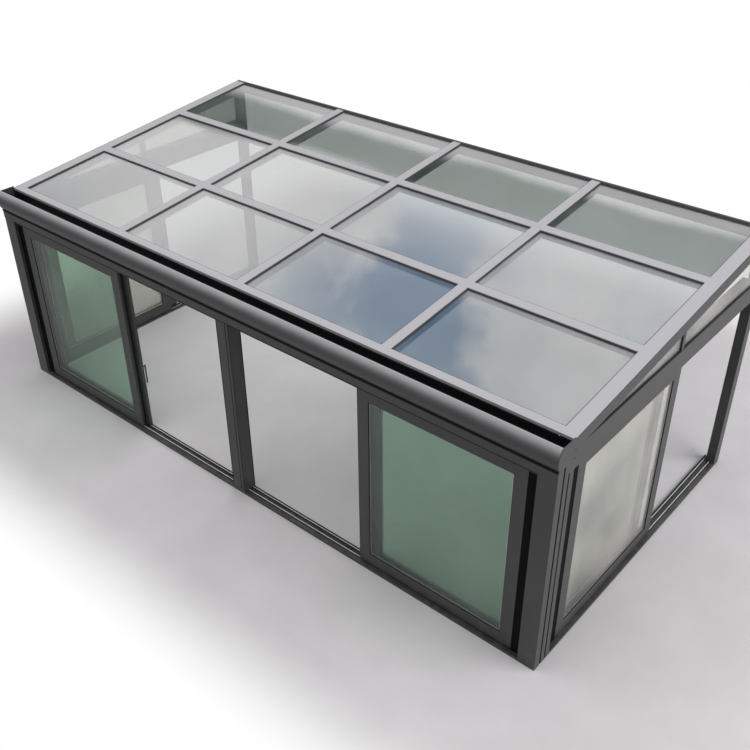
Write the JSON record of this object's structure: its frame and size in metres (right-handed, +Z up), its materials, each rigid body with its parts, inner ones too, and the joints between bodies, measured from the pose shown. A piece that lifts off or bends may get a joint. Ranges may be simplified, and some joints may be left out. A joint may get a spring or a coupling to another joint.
{
  "type": "lean-to glass greenhouse",
  "caption": "Lean-to glass greenhouse: dark aluminium frame, sloped glass roof on rafters, rounded box gutter and sliding glass walls on three sides.",
  "frame": {"origin": "centre of the footprint at ground level", "axes": "+X along the front, left to right seen from the garden; +Y from the front towards the open back; +Z up"},
  "size_m": [8.012, 4.0998, 3.0468],
  "materials": {
    "frame": "satin",
    "roof_bars": "satin",
    "gutter": "satin",
    "black_trim": "matte",
    "wall_glass": "clear",
    "roof_glass": "clear",
    "handles": "satin",
    "rollers": "matte"
  },
  "bodies": {
    "frame": {"corner_posts": "frame", "centre_post": "frame", "rear_posts": "frame", "side_jambs": "frame", "track_covers": "black_trim", "front_sills": "frame", "side_sills": "frame", "front_head_channels": "frame", "side_head_channels": "frame", "front_fascia": "frame", "front_beams": "frame", "side_beams": "frame", "eave_beam": "frame", "wall_plate": "roof_bars", "end_rafters": "frame", "rafters": "frame", "cross_bars": "frame", "roof_caps": "roof_bars", "roof_glass": "roof_glass", "wall_flashing": "black_trim", "gutter": "gutter", "verge_trims": "frame", "gable_mullions": "frame", "gable_glass": "wall_glass", "front_fixed_frames": "frame", "front_fixed_glass": "wall_glass", "side_fixed_frames": "frame", "side_fixed_glass": "wall_glass"},
    "left_front_door": {"left_front_door_frame": "frame", "left_front_door_glass": "wall_glass", "left_front_door_handle": "handles", "left_front_door_rollers": "rollers"},
    "right_front_door": {"right_front_door_frame": "frame", "right_front_door_glass": "wall_glass", "right_front_door_handle": "handles", "right_front_door_rollers": "rollers"},
    "left_side_door": {"left_side_door_frame": "frame", "left_side_door_glass": "wall_glass", "left_side_door_handle": "handles", "left_side_door_rollers": "rollers"},
    "right_side_door": {"right_side_door_frame": "frame", "right_side_door_glass": "wall_glass", "right_side_door_handle": "handles", "right_side_door_rollers": "rollers"}
  },
  "joints": [
    {"name": "left_front_slide", "type": "slide", "parent": "frame", "child": "left_front_door", "axis": [1, 0, 0], "range_m": [-0.162, 1.648]},
    {"name": "right_front_slide", "type": "slide", "parent": "frame", "child": "right_front_door", "axis": [-1, 0, 0], "range_m": [-0.006, 1.804]},
    {"name": "left_side_slide", "type": "slide", "parent": "frame", "child": "left_side_door", "axis": [0, 1, 0], "range_m": [-0.009, 1.577]},
    {"name": "right_side_slide", "type": "slide", "parent": "frame", "child": "right_side_door", "axis": [0, 1, 0], "range_m": [-0.009, 1.577]}
  ]
}
